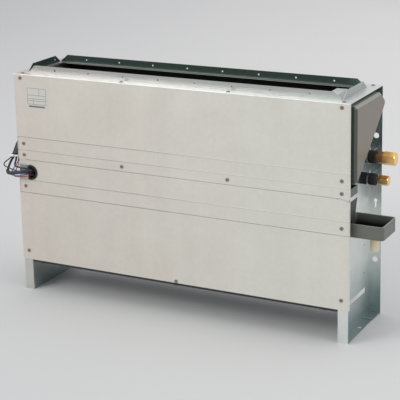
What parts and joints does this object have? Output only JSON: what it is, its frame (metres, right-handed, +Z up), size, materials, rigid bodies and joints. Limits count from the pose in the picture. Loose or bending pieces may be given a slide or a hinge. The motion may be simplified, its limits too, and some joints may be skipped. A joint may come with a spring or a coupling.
{
  "type": "concealed floor air conditioner unit",
  "caption": "Low bare-metal indoor unit that draws air in at the floor, blows it through a coil and out of a collar on top, with drain tray, flare pipes and wiring at the ends.",
  "frame": {"origin": "middle of the casing's width and depth, on the floor between the two floor fixing holes", "axes": "+X to the pipe end, which is on the right seen from the front, +Y to the wall behind, +Z up"},
  "size_m": [1.0568, 0.2457, 0.61],
  "materials": {
    "galvanised_sheet": "plain galvanised sheet with a faint satin grain",
    "collar_sheet": "bright galvanised sheet",
    "front_sheet": "smooth silver-beige galvanised sheet, satin",
    "plated_screws": "plated steel, slightly dull",
    "pipe_clip_steel": "bright plated steel",
    "cover_moulding": "warm grey moulding, fine satin texture",
    "black_clip": "black moulding",
    "filter_mesh": "woven black net",
    "wheel_moulding": "dark grey moulding",
    "steel_shaft": "ground steel",
    "motor_enamel": "black enamel, low gloss",
    "black_rubber": "matt black rubber",
    "coil_aluminium": "plain mill finish",
    "copper": "drawn copper",
    "pipe_foam": "closed-cell black foam, matt",
    "brass_fittings": "machined brass",
    "pan_enamel": "olive grey enamel, satin",
    "pan_foam": "pale foam",
    "spout_moulding": "dark moulding",
    "socket_moulding": "cream moulding",
    "label_foil": "blank foil",
    "board_laminate": "green laminate",
    "transformer_steel": "varnished steel",
    "black_sheath": "black sheath",
    "teal_sheath": "dark teal sheath",
    "blue_sheath": "violet-blue sheath",
    "red_sheath": "red sheath",
    "tie_nylon": "natural nylon"
  },
  "bodies": {
    "casing": {"left_side_frame": "galvanised_sheet", "right_side_frame": "galvanised_sheet", "foot_stiffeners": "galvanised_sheet", "top_plate": "galvanised_sheet", "duct_collar": "collar_sheet", "upper_front_panel": "front_sheet", "middle_front_panel": "front_sheet", "lower_front_panel": "front_sheet", "front_stay": "galvanised_sheet", "rear_panel": "galvanised_sheet", "fan_deck": "galvanised_sheet", "intake_frame": "galvanised_sheet", "panel_screws": "plated_screws", "top_screws": "plated_screws", "left_fan_scroll": "galvanised_sheet", "right_fan_scroll": "galvanised_sheet", "motor_body": "motor_enamel", "motor_bearings": "steel_shaft", "motor_rubber_rings": "black_rubber", "motor_bracket": "galvanised_sheet", "coil_fins": "coil_aluminium", "coil_hairpins": "copper", "coil_return_bends": "copper", "left_coil_end_plate": "galvanised_sheet", "right_coil_end_plate": "galvanised_sheet", "gas_pipe": "copper", "liquid_pipe": "copper", "gas_foam_sleeve": "pipe_foam", "liquid_foam_sleeve": "pipe_foam", "pipe_clips": "pipe_clip_steel", "gas_union": "brass_fittings", "liquid_union": "brass_fittings", "gas_flare_nut": "brass_fittings", "liquid_flare_nut": "brass_fittings", "main_drain_pan": "pan_enamel", "main_pan_foam": "pan_foam", "drain_spout": "spout_moulding", "outer_tray": "pan_enamel", "drain_socket": "socket_moulding", "end_cover": "cover_moulding", "cover_clips": "black_clip", "label_plate": "label_foil", "control_box": "galvanised_sheet", "control_box_lid": "galvanised_sheet", "circuit_board": "board_laminate", "terminal_block": "black_clip", "transformer": "transformer_steel", "wire_bushes": "black_rubber", "black_cable": "black_sheath", "teal_lead": "teal_sheath", "loop_lead": "black_sheath", "blue_wire": "blue_sheath", "red_wire": "red_sheath", "cable_tie": "tie_nylon"},
    "rotor": {"left_fan_wheel": "wheel_moulding", "right_fan_wheel": "wheel_moulding", "fan_shaft": "steel_shaft"},
    "filter": {"filter_frame": "black_clip", "filter_net": "filter_mesh", "filter_pull_tabs": "black_clip"}
  },
  "joints": [
    {"name": "fan_spin", "type": "hinge", "parent": "casing", "child": "rotor", "pos_m": [0, -0.01, 0.182], "axis": [1, 0, 0], "continuous": true},
    {"name": "filter_slide", "type": "slide", "parent": "casing", "child": "filter", "axis": [0, -1, 0], "range_m": [0, 0.19]}
  ]
}
